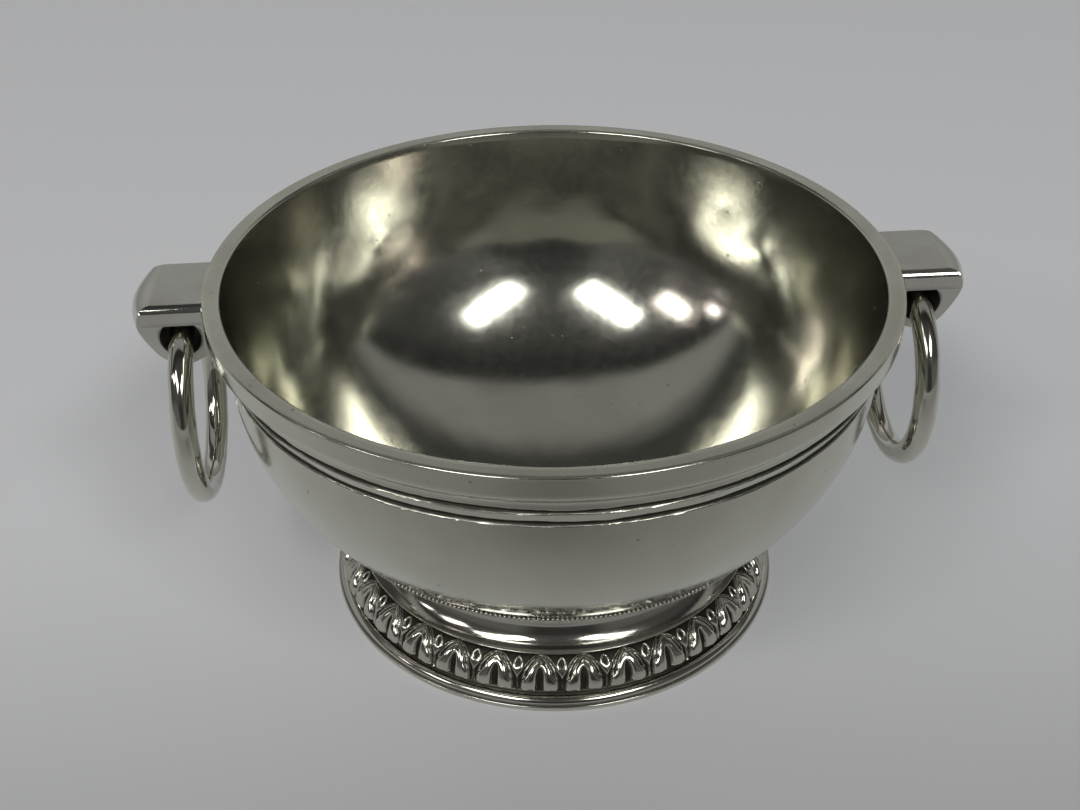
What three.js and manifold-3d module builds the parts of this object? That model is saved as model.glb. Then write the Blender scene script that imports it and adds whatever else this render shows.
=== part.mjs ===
// Footed pewter bowl with two lug handles, each holding a loose ring.
// Millimetres, +Z up. The origin is on the bowl's axis, on the plane that the foot stands on.

import * as THREE from 'three';
import { mergeVertices } from 'three/addons/utils/BufferGeometryUtils.js';
import Module from 'manifold-3d';

const wasm = await Module();
wasm.setup();

// Air left between two pieces that are soldered together, for the solder.
const seam = 0.3;

// Bowl: rim moulding, turned grooves, belly and floor.
const rimHeight = 68.4;
const rimWidth = 3;
const rimEdge = 0.4;
const rimBandDepth = 3.3;
const rimUndercutDepth = 3.9;
const mouthRadius = 60;
const mouthEdge = 0.3;
const rimOverhang = 2.4;
const upperGrooveDrop = 8.3;
const lowerGrooveDrop = 11.3;
const grooveWidth = 1.1;
const grooveDepth = 0.5;
const neckStep = 0.8;
const bellyDrop = 13.4;
const bellyFullness = 15.4;
const bellyLift = 8.2;
const bellySweep = 13.4;
const bowlBottom = 9;
const bottomSpread = 14;
const bottomSweep = 7;
const mouthTaper = 2.2;
const mouthFall = 20.8;
const waistShare = 0.58;
const waistWall = 2.7;
const waistPull = 6.6;
const floorThickness = 2.7;
const bowlSides = 60;
const bellySteps = 9;
const bottomSteps = 5;
const insideSteps = 6;
const rimSteps = 4;

// Foot: concave shell, beaded wire, leaf border and base rim.
const footHeight = 17.1;
const neckHeight = 16.2;
const neckSetback = 8.4;
const seatOverhang = 0.9;
const footWall = 2.2;
const coveSetback = 4.7;
const coveHeight = 9.7;
const lipThickness = 0.3;
const lipReach = 0.2;
const baseHeight = 3.1;
const baseRadius = 44.1;
const baseStep = 0.8;
const baseWidth = 5.7;
const plinthHeight = 1.45;
const borderWall = 1.4;
const borderSwell = 4.7;
const borderSetback = 1.4;
const borderTurn = THREE.MathUtils.degToRad(79);
const wireRadius = 0.65;
const wireDrop = 0.4;
const wireSides = 5;
const coveSteps = 6;
const baseSteps = 4;

// Leaf border: an upright leaf with two lobes, then a bud, thirty times round.
const leafCount = 30;
const leafHalfWidth = 3.4;
const leafTip = 0.88;
const leafTaper = 1.6;
const leafRelief = 0.55;
const lobeRelief = 0.8;
const slotHalfWidth = 0.45;
const slotTop = 0.66;
const budHalfWidth = 1.75;
const budStem = 0.35;
const budWaist = 0.62;
const budTip = 0.96;
const budFlare = 2;
const budTaper = 1.5;
const budRelief = 0.5;
const budSlotHalfHeight = 0.2;
const cutRelief = 0.1;
const tipFade = 0.2;
const borderRows = [0, 0.2, 0.42, 0.62, 0.78, 0.9, 1];
const backSides = leafCount * 2;

// Lug: a knuckle with a bore along Y, under a flat top that is flush with the rim.
// The bore stands off the rim, and the top and nose are measured from the bore outwards.
const boreStandOff = 4.1;
const boreDrop = 7.2;
const boreRadius = 3.65;
const boreRelief = 0.1;
const lugWall = 1.75;
const lugRootDepth = 1.3;
const lugRootDrop = 9.9;
const lugTopLength = 2.9;
const lugNoseLength = 7;
const lugNoseDrop = 3.9;
const noseSwell = 1.8;
const swellStart = 3.9;
const lugTopHalfWidth = 7.5;
const lugBandHalfWidth = 8.2;
const lugBandDrop = 2.1;
const lugBandHeight = 2.4;
const knuckleHalfWidth = 7.2;
const knuckleStart = THREE.MathUtils.degToRad(234);
const knuckleEnd = THREE.MathUtils.degToRad(335);
const lugSteps = 4;
const lugFrontSteps = 8;
const lugFluteSteps = 5;
const boreSides = 16;

// How far a cutting or trimming solid reaches past what it cuts.
const cutMargin = 1;

// Ring: round wire bent to a circle and closed through the bore.
const ringRadius = 18;
const ringWireRadius = 2.25;
const ringWireSides = 8;
const ringSteps = 36;

// The bowl's widths follow from its mouth, and the foot's from its base.
const rimRadius = mouthRadius + rimWidth;
const neckRadius = rimRadius - rimOverhang;
const bellyRadius = neckRadius - neckStep;
const baseBore = baseRadius - baseWidth;
const borderFootRadius = baseRadius - borderSetback;
const coveRadius = baseRadius - coveSetback;
const footNeckRadius = baseRadius - neckSetback;

// A solid turned about Z from a closed outline of radius and height.
function turned(outline, sides) {
  const geometry = new THREE.LatheGeometry(outline, sides);
  geometry.rotateX(Math.PI / 2);
  return geometry;
}

// A closed geometry as a solid that can be joined and cut.
function solidOf(geometry) {
  const bare = geometry.clone();
  bare.deleteAttribute('normal');
  bare.deleteAttribute('uv');
  const merged = mergeVertices(bare);
  return new wasm.Manifold(new wasm.Mesh({
    numProp: 3,
    vertProperties: new Float32Array(merged.attributes.position.array),
    triVerts: new Uint32Array(merged.index.array),
  }));
}

// The geometry of a solid.
function geometryOf(solid) {
  const mesh = solid.getMesh();
  const geometry = new THREE.BufferGeometry();
  geometry.setAttribute('position', new THREE.BufferAttribute(mesh.vertProperties, 3));
  geometry.setIndex(new THREE.BufferAttribute(mesh.triVerts, 1));
  geometry.computeVertexNormals();
  return geometry;
}

function point(radius, height) {
  return new THREE.Vector2(radius, height);
}

// A smooth outline stretch from start to end, with a handle at each end.
function sweep(start, startHandle, endHandle, end, steps) {
  return new THREE.CubicBezierCurve(start, startHandle, endHandle, end).getPoints(steps);
}

// A turned V groove, read upwards. Without depth it is two plain points on the wall.
function groove(radius, height, depth) {
  return [
    point(radius, height - grooveWidth / 2),
    point(radius - depth, height),
    point(radius, height + grooveWidth / 2),
  ];
}

// The bowl rests on the foot on a cone that carries on the belly's own slope.
const seatRadius = footNeckRadius + seatOverhang;
const seatSlope = bellyLift / bellySweep;

function seatHeight(radius) {
  return footHeight + seam + (radius - seatRadius) * seatSlope;
}

// The belly's outside, from the seat up to the neck, moved out by a clearance.
function bellyCurve(clearance) {
  const seat = seatHeight(seatRadius);
  const bellyTop = rimHeight - bellyDrop;
  const belly = bellyRadius + clearance;
  return new THREE.CubicBezierCurve(
    point(seatRadius + clearance, seat),
    point(seatRadius + clearance + bellySweep, seat + bellyLift),
    point(belly, bellyTop - bellyFullness),
    point(belly, bellyTop),
  );
}

// The outside of the bowl from its seat on the foot up to the rim, moved out by a clearance.
function bowlOutside(clearance, cutDepth) {
  const bandFoot = rimHeight - rimBandDepth;
  const undercutFoot = bandFoot - rimUndercutDepth;
  const belly = bellyRadius + clearance;
  const neck = neckRadius + clearance;
  const rim = rimRadius + clearance;
  return [
    ...bellyCurve(clearance).getPoints(bellySteps),
    ...groove(belly, rimHeight - lowerGrooveDrop, cutDepth),
    ...groove(neck, rimHeight - upperGrooveDrop, cutDepth),
    ...sweep(
      point(neck, undercutFoot),
      point(neck, undercutFoot + rimUndercutDepth / 2),
      point(rim, bandFoot - rimUndercutDepth / 2),
      point(rim, bandFoot),
      rimSteps,
    ),
    point(rim, rimHeight - rimEdge),
  ];
}

// The bowl is cast and turned in one piece. Its inside runs beside the belly at the waist, where
// the wall is measured, and from there sweeps up to the mouth and down to the floor.
function makeBowl() {
  const seatStart = footNeckRadius - footWall - seam;
  const underside = sweep(
    point(0, bowlBottom),
    point(bottomSpread, bowlBottom),
    point(seatStart - bottomSweep, seatHeight(seatStart - bottomSweep)),
    point(seatStart, seatHeight(seatStart)),
    bottomSteps,
  );
  const floor = bowlBottom + floorThickness;
  const lip = rimHeight - mouthEdge;
  const beside = bellyCurve(0).getPoint(waistShare);
  const along = bellyCurve(0).getTangent(waistShare);
  const waist = point(beside.x - along.y * waistWall, beside.y + along.x * waistWall);
  const pull = along.clone().multiplyScalar(waistPull);
  const upperInside = sweep(
    point(mouthRadius, lip),
    point(mouthRadius - mouthTaper, lip - mouthFall),
    waist.clone().add(pull),
    waist,
    insideSteps,
  );
  const lowerInside = sweep(
    waist,
    waist.clone().sub(pull),
    point(seatRadius, floor),
    point(0, floor),
    insideSteps,
  );
  const outline = [
    ...underside,
    ...bowlOutside(0, grooveDepth),
    point(rimRadius - rimEdge, rimHeight),
    point(mouthRadius + mouthEdge, rimHeight),
    ...upperInside,
    ...lowerInside.slice(1),
  ];
  return turned(outline, bowlSides);
}

// The space that the bowl takes up beside a lug, with the solder seam added.
function makeBowlSpace() {
  const above = rimHeight + cutMargin;
  const outline = [
    point(0, footHeight),
    ...bowlOutside(seam, 0),
    point(rimRadius + seam, above),
    point(0, above),
  ];
  return solidOf(turned(outline, bowlSides));
}

// The radius of the cone behind the leaf border, at a height.
function shellRadius(height) {
  const slope = (borderFootRadius - coveRadius) / (coveHeight - baseHeight);
  return borderFootRadius - borderWall - seam - slope * (height - baseHeight);
}

// The shell of the foot: a cove above, a thin lip, and a cone behind the leaf border.
function makeFootShell() {
  const coveSpan = coveRadius - footNeckRadius;
  const coveDepth = neckHeight - coveHeight;
  const cove = new THREE.EllipseCurve(
    coveRadius, neckHeight, coveSpan, coveDepth, Math.PI, Math.PI * 1.5, false,
  ).getPoints(coveSteps);
  const lipFoot = coveHeight - lipThickness;
  const shellFoot = baseHeight + seam;
  const innerNeck = footNeckRadius - footWall;
  const topSeam = seam * Math.hypot(1, seatSlope);
  const innerTop = point(innerNeck, seatHeight(innerNeck) - topSeam);
  const outline = [
    innerTop,
    point(shellRadius(lipFoot) - footWall, lipFoot),
    point(shellRadius(shellFoot) - footWall, shellFoot),
    point(shellRadius(shellFoot), shellFoot),
    point(shellRadius(lipFoot), lipFoot),
    point(coveRadius + lipReach, lipFoot),
    point(coveRadius + lipReach, coveHeight),
    ...cove.reverse(),
    point(footNeckRadius, seatHeight(footNeckRadius) - topSeam),
    innerTop,
  ];
  return turned(outline, backSides);
}

// The base rim that the bowl stands on: a plinth, then a small cove up to the leaf border.
function makeBaseRim() {
  const top = baseRadius - baseStep;
  const cove = sweep(
    point(baseRadius, plinthHeight),
    point(top + baseStep / 4, plinthHeight),
    point(top, plinthHeight + baseStep / 2),
    point(top, baseHeight),
    baseSteps,
  );
  const outline = [
    point(baseBore, 0),
    point(baseRadius, 0),
    ...cove,
    point(baseBore, baseHeight),
    point(baseBore, 0),
  ];
  return turned(outline, backSides);
}

// The beaded wire that hides the solder between bowl and foot.
function makeBeadWire() {
  const reach = footNeckRadius + seam + wireRadius;
  const geometry = new THREE.TorusGeometry(reach, wireRadius, wireSides, backSides);
  geometry.translate(0, 0, seatHeight(seatRadius) - wireDrop - wireRadius);
  return geometry;
}

// Half the width of the upright leaf at a share of the border's height.
function leafHalf(share) {
  const left = 1 - (share / leafTip) ** leafTaper;
  return leafHalfWidth * Math.max(left, 0);
}

// Half the width of the bud, which stands on a narrow stem and ends in a point.
function budHalf(share) {
  if (share < budWaist) {
    const rise = share / budWaist;
    return budStem + (budHalfWidth - budStem) * rise ** budFlare;
  }
  const fall = Math.min((share - budWaist) / (budTip - budWaist), 1);
  return budHalfWidth * (1 - fall ** budTaper);
}

// One row of a leaf and half of a bud: distance from the leaf's middle and height of the relief.
function leafRow(share, pitch) {
  const leaf = leafHalf(share);
  const bud = budHalf(share);
  const slot = Math.min(slotHalfWidth, leaf / 3);
  const onLeaf = leaf > 0 ? 1 : 0;
  const onBud = bud > 0 ? 1 : 0;
  const inSlot = share < slotTop;
  const inBudSlot = Math.abs(share - budWaist) < budSlotHalfHeight;
  const ground = (leaf + pitch / 2 - bud) / 2;
  return [
    [0, inSlot ? cutRelief : leafRelief * onLeaf],
    [slot, leafRelief * onLeaf],
    [(slot + leaf) / 2, lobeRelief * onLeaf],
    [leaf, leafRelief * onLeaf],
    [ground, 0],
    [pitch / 2 - bud, budRelief * onBud],
    [pitch / 2, inBudSlot ? cutRelief : budRelief * onBud],
  ];
}

// The leaf border: a swelling band with the leaves raised on it, closed at the back.
function makeLeafBorder() {
  const bottom = baseHeight + seam;
  const top = coveHeight - lipThickness - seam;
  const centre = borderFootRadius - borderSwell;
  const rise = (top - bottom) / Math.sin(borderTurn);
  const pitch = 2 * Math.PI * borderFootRadius / leafCount;
  const unitColumns = leafRow(0, pitch).length * 2 - 2;
  const columns = unitColumns * leafCount;
  const lastRow = borderRows.length - 1;
  const positions = [];
  const indices = [];

  for (const share of borderRows) {
    const turn = borderTurn * share;
    const half = leafRow(share, pitch);
    const mirrored = half.slice(1, -1).reverse().map(([across, lift]) => [pitch - across, lift]);
    const normal = point(Math.cos(turn) * rise, Math.sin(turn) * borderSwell).normalize();
    const fade = Math.min((1 - share) / tipFade, 1);
    for (let leaf = 0; leaf < leafCount; leaf += 1) {
      for (const [across, lift] of [...half, ...mirrored]) {
        const angle = 2 * Math.PI * (leaf + across / pitch) / leafCount;
        const radius = centre + borderSwell * Math.cos(turn) + lift * fade * normal.x;
        const height = bottom + rise * Math.sin(turn) + lift * fade * normal.y;
        positions.push(radius * Math.cos(angle), radius * Math.sin(angle), height);
      }
    }
  }

  const backStart = positions.length / 3;
  for (const height of [bottom, top]) {
    const radius = shellRadius(height) + seam;
    for (let side = 0; side < backSides; side += 1) {
      const angle = 2 * Math.PI * side / backSides;
      positions.push(radius * Math.cos(angle), radius * Math.sin(angle), height);
    }
  }

  const front = (row, column) => row * columns + column % columns;
  const back = (row, side) => backStart + row * backSides + side % backSides;
  for (let row = 0; row < lastRow; row += 1) {
    for (let column = 0; column < columns; column += 1) {
      const a = front(row, column);
      const b = front(row, column + 1);
      const c = front(row + 1, column + 1);
      const d = front(row + 1, column);
      indices.push(a, b, d, b, c, d);
    }
  }

  const fan = columns / backSides;
  for (let side = 0; side < backSides; side += 1) {
    const lowLeft = back(0, side);
    const lowRight = back(0, side + 1);
    const highLeft = back(1, side);
    const highRight = back(1, side + 1);
    indices.push(lowLeft, highLeft, lowRight, lowRight, highLeft, highRight);
    for (let step = 0; step < fan; step += 1) {
      const column = side * fan + step;
      const near = step < fan / 2;
      indices.push(front(0, column + 1), front(0, column), near ? lowLeft : lowRight);
      indices.push(front(lastRow, column), front(lastRow, column + 1), near ? highLeft : highRight);
    }
    const middle = side * fan + fan / 2;
    indices.push(front(0, middle), lowLeft, lowRight);
    indices.push(front(lastRow, middle), highRight, highLeft);
  }

  const geometry = new THREE.BufferGeometry();
  geometry.setAttribute('position', new THREE.Float32BufferAttribute(positions, 3));
  geometry.setIndex(indices);
  geometry.computeVertexNormals();
  return geometry;
}

// Each lug stands on the X axis, with its bore just outside the rim.
const boreReach = rimRadius + boreStandOff;
const noseReach = boreReach + lugNoseLength;

// The lug seen from the front: flat top, rounded nose and a round knuckle about the bore.
function lugFrontShape() {
  const boreHeight = rimHeight - boreDrop;
  const noseHeight = rimHeight - lugNoseDrop;
  const root = neckRadius - lugRootDepth;
  const shape = new THREE.Shape();
  shape.moveTo(root, rimHeight);
  shape.lineTo(root, rimHeight - lugRootDrop);
  shape.absarc(boreReach, boreHeight, boreRadius + lugWall, knuckleStart, knuckleEnd, false);
  shape.quadraticCurveTo(noseReach, noseHeight - lugNoseDrop / 2, noseReach, noseHeight);
  shape.quadraticCurveTo(noseReach, rimHeight, boreReach + lugTopLength, rimHeight);
  shape.closePath();
  return shape;
}

// The lug seen along X: a flute under the top edge, a raised band, and the narrower knuckle.
function lugSideShape() {
  const bandTop = rimHeight - lugBandDrop;
  const bandFoot = bandTop - lugBandHeight;
  const bottom = rimHeight - boreDrop - boreRadius - lugWall - cutMargin;
  const above = rimHeight + cutMargin;
  const shape = new THREE.Shape();
  shape.moveTo(lugTopHalfWidth, above);
  shape.lineTo(-lugTopHalfWidth, above);
  shape.lineTo(-lugTopHalfWidth, rimHeight);
  shape.quadraticCurveTo(-lugTopHalfWidth, bandTop, -lugBandHalfWidth, bandTop);
  shape.lineTo(-lugBandHalfWidth, bandFoot);
  shape.lineTo(-knuckleHalfWidth, bandFoot);
  shape.lineTo(-knuckleHalfWidth, bottom);
  shape.lineTo(knuckleHalfWidth, bottom);
  shape.lineTo(knuckleHalfWidth, bandFoot);
  shape.lineTo(lugBandHalfWidth, bandFoot);
  shape.lineTo(lugBandHalfWidth, bandTop);
  shape.quadraticCurveTo(lugTopHalfWidth, bandTop, lugTopHalfWidth, rimHeight);
  shape.closePath();
  return shape;
}

// The lug on the +X side, cast with its bore and soldered against the bowl.
function makeLug(bowlSpace) {
  const width = (lugBandHalfWidth + cutMargin) * 2;
  const front = new THREE.ExtrudeGeometry(lugFrontShape(), {
    depth: width,
    steps: lugSteps,
    bevelEnabled: false,
    curveSegments: lugFrontSteps,
  });
  front.translate(0, 0, -width / 2);
  front.rotateX(Math.PI / 2);

  // The nose swells outwards towards the middle of the lug.
  const places = front.attributes.position;
  for (let index = 0; index < places.count; index += 1) {
    const past = places.getX(index) - boreReach - swellStart;
    const reach = past / (lugNoseLength - swellStart);
    const middle = 1 - (places.getY(index) / lugBandHalfWidth) ** 2;
    const swell = noseSwell * THREE.MathUtils.clamp(reach, 0, 1) * middle;
    places.setX(index, places.getX(index) + swell);
  }

  const side = new THREE.ExtrudeGeometry(lugSideShape(), {
    depth: noseReach + noseSwell + cutMargin,
    steps: 1,
    bevelEnabled: false,
    curveSegments: lugFluteSteps,
  });
  side.rotateX(Math.PI / 2);
  side.rotateZ(Math.PI / 2);

  // The bore goes through the knuckle and stops at the raised bands.
  const boreLength = (knuckleHalfWidth + boreRelief) * 2;
  const bore = new THREE.CylinderGeometry(boreRadius, boreRadius, boreLength, boreSides);
  bore.translate(boreReach, 0, rimHeight - boreDrop);

  const blank = solidOf(front).intersect(solidOf(side));
  return geometryOf(blank.subtract(solidOf(bore)).subtract(bowlSpace));
}

// The ring on the +X side, hanging straight down through the middle of the bore.
function makeRing() {
  const sag = ringRadius - Math.sqrt(ringRadius ** 2 - knuckleHalfWidth ** 2);
  const geometry = new THREE.TorusGeometry(ringRadius, ringWireRadius, ringWireSides, ringSteps);
  geometry.rotateY(Math.PI / 2);
  geometry.translate(boreReach, 0, rimHeight - boreDrop + sag / 2 - ringRadius);
  return geometry;
}

// Bare pewter, in the tone and polish that each piece has.
function pewter(colour, roughness) {
  return new THREE.MeshStandardMaterial({ color: colour, roughness, metalness: 1 });
}

const object = new THREE.Group();

function addPiece(name, geometry, material, turn) {
  const mesh = new THREE.Mesh(geometry, material);
  mesh.name = name;
  mesh.rotation.z = turn;
  object.add(mesh);
}

const bowlSpace = makeBowlSpace();
addPiece('bowl', makeBowl(), pewter(0xa3a199, 0.25), 0);
addPiece('foot_shell', makeFootShell(), pewter(0xa9a79f, 0.15), 0);
addPiece('leaf_border', makeLeafBorder(), pewter(0x8f8d82, 0.25), 0);
addPiece('base_rim', makeBaseRim(), pewter(0xa6a499, 0.22), 0);
addPiece('bead_wire', makeBeadWire(), pewter(0x8a887d, 0.28), 0);

const sides = [['right', 0], ['left', Math.PI]];
for (const [side, turn] of sides) {
  addPiece(`${side}_lug`, makeLug(bowlSpace), pewter(0xa5a39b, 0.22), turn);
  addPiece(`${side}_ring`, makeRing(), pewter(0x9c9a8e, 0.12), turn);
}

export default object;
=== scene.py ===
"""Footed pewter bowl with a loose ring in each of its two lugs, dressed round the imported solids. Metres."""

import bmesh
import bpy
import numpy as np
from mathutils import Matrix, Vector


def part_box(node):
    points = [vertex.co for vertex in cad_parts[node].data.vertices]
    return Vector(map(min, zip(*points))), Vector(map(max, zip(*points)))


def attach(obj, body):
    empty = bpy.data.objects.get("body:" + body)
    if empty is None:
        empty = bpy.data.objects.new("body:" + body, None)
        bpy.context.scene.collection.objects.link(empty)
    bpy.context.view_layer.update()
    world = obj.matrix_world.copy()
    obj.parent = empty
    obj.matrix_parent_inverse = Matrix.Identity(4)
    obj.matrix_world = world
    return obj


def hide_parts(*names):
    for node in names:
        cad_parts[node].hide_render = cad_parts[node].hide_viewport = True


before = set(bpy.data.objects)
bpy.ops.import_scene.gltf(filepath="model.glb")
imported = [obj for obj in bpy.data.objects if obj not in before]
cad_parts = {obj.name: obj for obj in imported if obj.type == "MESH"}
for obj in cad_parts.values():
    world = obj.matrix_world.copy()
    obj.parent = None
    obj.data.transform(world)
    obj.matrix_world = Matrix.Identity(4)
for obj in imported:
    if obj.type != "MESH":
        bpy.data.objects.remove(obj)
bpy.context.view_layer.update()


# The bowl is cast in pewter and turned inside and out in one piece. A plain band runs round the
# rim with an undercut below it, and two dark grooves are cut round the neck. It was finished by
# hand, so its wall is a little wavy and the inside has small dents.
MM = 0.001
FULL_TURN = 2 * np.pi

bowl_low, bowl_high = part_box("bowl")
rim_radius = bowl_high.y
rim_top = bowl_high.z
bowl_bottom = bowl_low.z
rim_width = 3 * MM
rim_edge = 0.35 * MM
sharp_edge = 0.03 * MM
lug_half_width = 7.25 * MM
mouth_edge = 0.45 * MM
mouth_lean = 0.25 * MM
band_depth = 3.3 * MM
undercut_depth = 3.9 * MM
rim_overhang = 2.4 * MM
neck_step = 0.8 * MM
neck_drop = 13.4 * MM
belly_fullness = 15.4 * MM
belly_lift = 8.2 * MM
belly_sweep = 13.4 * MM
seat_radius = 36.6 * MM
seat_height = 17.4 * MM
seat_inside = 33.2 * MM
bottom_spread = 14 * MM
bottom_sweep = 7 * MM
floor_thickness = 2.7 * MM
mouth_taper = 1.95 * MM
mouth_fall = 20.65 * MM
waist_share = 0.58
waist_wall = 2.7 * MM
waist_pull = 6.6 * MM

upper_groove = rim_top - 8.3 * MM
lower_groove = rim_top - 11.3 * MM
groove_half_width = 0.55 * MM
groove_depth = 0.5 * MM
groove_roundness = 1.6
groove_unevenness = 0.3
groove_width_change = 0.5
groove_depth_change = 0.6
groove_raggedness = 0.35
groove_ripples = 7
groove_shading = (0.1, 0.5)
groove_darkness = 0.95
rim_raggedness = 0.3
rim_run_out = 0.6 * MM

wave_length = 14 * MM
waves_added = 24
fewest_round = 2
most_round = 25
outside_wave = 0.03 * MM
inside_wave = 0.06 * MM
bottom_wave_share = 0.18
calm_below = 26 * MM
wavy_above = 46 * MM
calm_centre = 2 * MM
wavy_beyond = 14 * MM
blend_rows = 10
fade_rows = 12

inside_shade = 0.09
inside_satin = -0.035
rim_satin = 0.14
streak_length = 1.2 * MM
streak_ripples = 2
streak_range = (0.2, 1.6)
streak_fade = 1.2 * MM
streak_darkness = 0.35
bowl_columns = 400
merge_distance = 0.002 * MM


def sweep(start, start_handle, end_handle, end, count):
    """A cubic Bezier stretch: its four points, weighted by the powers of t and of 1 - t."""
    t = np.linspace(0, 1, count)[:, None]
    return (
        (1 - t) ** 3 * np.array(start)
        + 3 * (1 - t) ** 2 * t * np.array(start_handle)
        + 3 * (1 - t) * t**2 * np.array(end_handle)
        + t**3 * np.array(end)
    )


def straight(start, end, count):
    """A straight stretch, with its points evenly spaced."""
    t = np.linspace(0, 1, count)[:, None]
    return (1 - t) * np.array(start) + t * np.array(end)


def bend(centre, radii, start_angle, end_angle, count):
    """A stretch of a circle or ellipse about its centre, from one angle in degrees to another."""
    angle = np.radians(np.linspace(start_angle, end_angle, count))
    return np.array(centre) + np.stack([np.cos(angle), np.sin(angle)], 1) * radii


def joined(*stretches):
    """One profile out of several stretches, without the point that each shares with the one before."""
    return np.concatenate([stretches[0]] + [stretch[1:] for stretch in stretches[1:]])


def way_along(profile):
    """The length of the profile from its start up to each of its points."""
    steps = np.linalg.norm(np.diff(profile, axis=0), axis=1)
    return np.concatenate([[0], np.cumsum(steps)])


def outward(profile):
    """The unit normal at each profile point: its direction of travel, turned a quarter right."""
    travel = np.gradient(profile, axis=0)
    normal = np.stack([travel[:, 1], -travel[:, 0]], 1)
    return normal / np.linalg.norm(normal, axis=1)[:, None]


def even_turn(count):
    """A whole turn in even steps, as one row of angles."""
    return np.linspace(0, FULL_TURN, count, endpoint=False)[None, :]


def hand_waves(turn, along, length, seed):
    """Soft random waves about zero: cosines of whole turns and of the way along, added up."""
    draw = np.random.default_rng(seed)
    height = np.zeros(np.broadcast(turn, along).shape)
    for _ in range(waves_added):
        round_waves = draw.integers(fewest_round, most_round + 1)
        along_waves = draw.uniform(-FULL_TURN, FULL_TURN) / length
        phase = draw.uniform(0, FULL_TURN)
        height += np.cos(round_waves * turn + along_waves * along + phase)
    return height / waves_added**0.5


def soft_step(value, low, high):
    """Rises from 0 at low to 1 at high, level at both ends."""
    share = np.clip((value - low) / (high - low), 0, 1)
    return share * share * (3 - 2 * share)


def turned(radii, heights, turn):
    """Points on circles about the axis, out of radii and heights by profile point and turn."""
    radii, heights, turn = np.broadcast_arrays(radii, heights, turn)
    return np.stack([radii * np.cos(turn), radii * np.sin(turn), heights], 2)


def placed(name, data):
    """A new object in the scene, out of a mesh, a lamp or a camera."""
    thing = bpy.data.objects.new(name, data)
    bpy.context.scene.collection.objects.link(thing)
    return thing


def skin(name, points, material, marks=None, closed_along=False, sharp_angle=40):
    """A mesh over a grid of points that closes round its columns. Doubled points become one, and
    each mark is an attribute that the material reads."""
    rows, columns = points.shape[:2]
    number = np.arange(rows * columns).reshape(rows, columns)
    here = number if closed_along else number[:-1]
    above = np.roll(number, -1, 0) if closed_along else number[1:]
    corners = (here, np.roll(here, -1, 1), np.roll(above, -1, 1), above)
    faces = np.stack(corners, 2).reshape(-1, 4)
    mesh = bpy.data.meshes.new(name)
    mesh.from_pydata(points.reshape(-1, 3), [], faces)
    for mark, values in (marks or {}).items():
        layer = mesh.attributes.new(mark, "FLOAT", "POINT")
        shown = np.broadcast_to(values, (rows, columns)).astype(np.float32)
        layer.data.foreach_set("value", shown.ravel())
    working = bmesh.new()
    working.from_mesh(mesh)
    bmesh.ops.remove_doubles(working, verts=working.verts, dist=merge_distance)
    bmesh.ops.recalc_face_normals(working, faces=working.faces)
    working.to_mesh(mesh)
    working.free()
    mesh.shade_smooth()
    mesh.set_sharp_from_angle(angle=np.radians(sharp_angle))
    mesh.materials.append(material)
    return placed(name, mesh)


def make_group(name, inputs, outputs):
    """An empty shader group with its two end nodes. Inputs and outputs are names with their kinds."""
    group = bpy.data.node_groups.new(name, "ShaderNodeTree")
    for way, sockets in (("INPUT", inputs), ("OUTPUT", outputs)):
        for label, kind in sockets.items():
            group.interface.new_socket(label, in_out=way, socket_type="NodeSocket" + kind)
    return group, group.nodes.new("NodeGroupInput"), group.nodes.new("NodeGroupOutput")


def feed(tree, node, inputs):
    """Sets each given input of a node to a value, or links it to a socket."""
    for label, value in inputs.items():
        if isinstance(value, bpy.types.NodeSocket):
            tree.links.new(value, node.inputs[label])
        else:
            node.inputs[label].default_value = value


def add_node(tree, kind, inputs=None, **settings):
    """A new shader node with its settings and inputs."""
    node = tree.nodes.new("ShaderNode" + kind)
    for label, value in settings.items():
        setattr(node, label, value)
    feed(tree, node, inputs or {})
    return node


def noise(tree, vector, scale, detail=3, roughness=0.5, distortion=0):
    """A noise texture on the given coordinates."""
    shape = {"Scale": scale, "Detail": detail, "Roughness": roughness, "Distortion": distortion}
    return add_node(tree, "TexNoise", {"Vector": vector, **shape}).outputs["Fac"]


def ranged(tree, value, low, high, to_low, to_high, way="SMOOTHSTEP"):
    """The value, carried from one range to another and held at its ends."""
    ends = {"From Min": low, "From Max": high, "To Min": to_low, "To Max": to_high}
    node = add_node(tree, "MapRange", {"Value": value, **ends}, interpolation_type=way)
    return node.outputs["Result"]


def maths(tree, operation, first, second=0):
    """One sum worked out on one or two values, each a socket or a number."""
    return add_node(tree, "Math", {0: first, 1: second}, operation=operation).outputs["Value"]


def blended(tree, share, first, second):
    """A colour between two others. A mix node has its colours at inputs 6 and 7 and output 2."""
    return add_node(tree, "Mix", {0: share, 6: first, 7: second}, data_type="RGBA").outputs[2]


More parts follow.
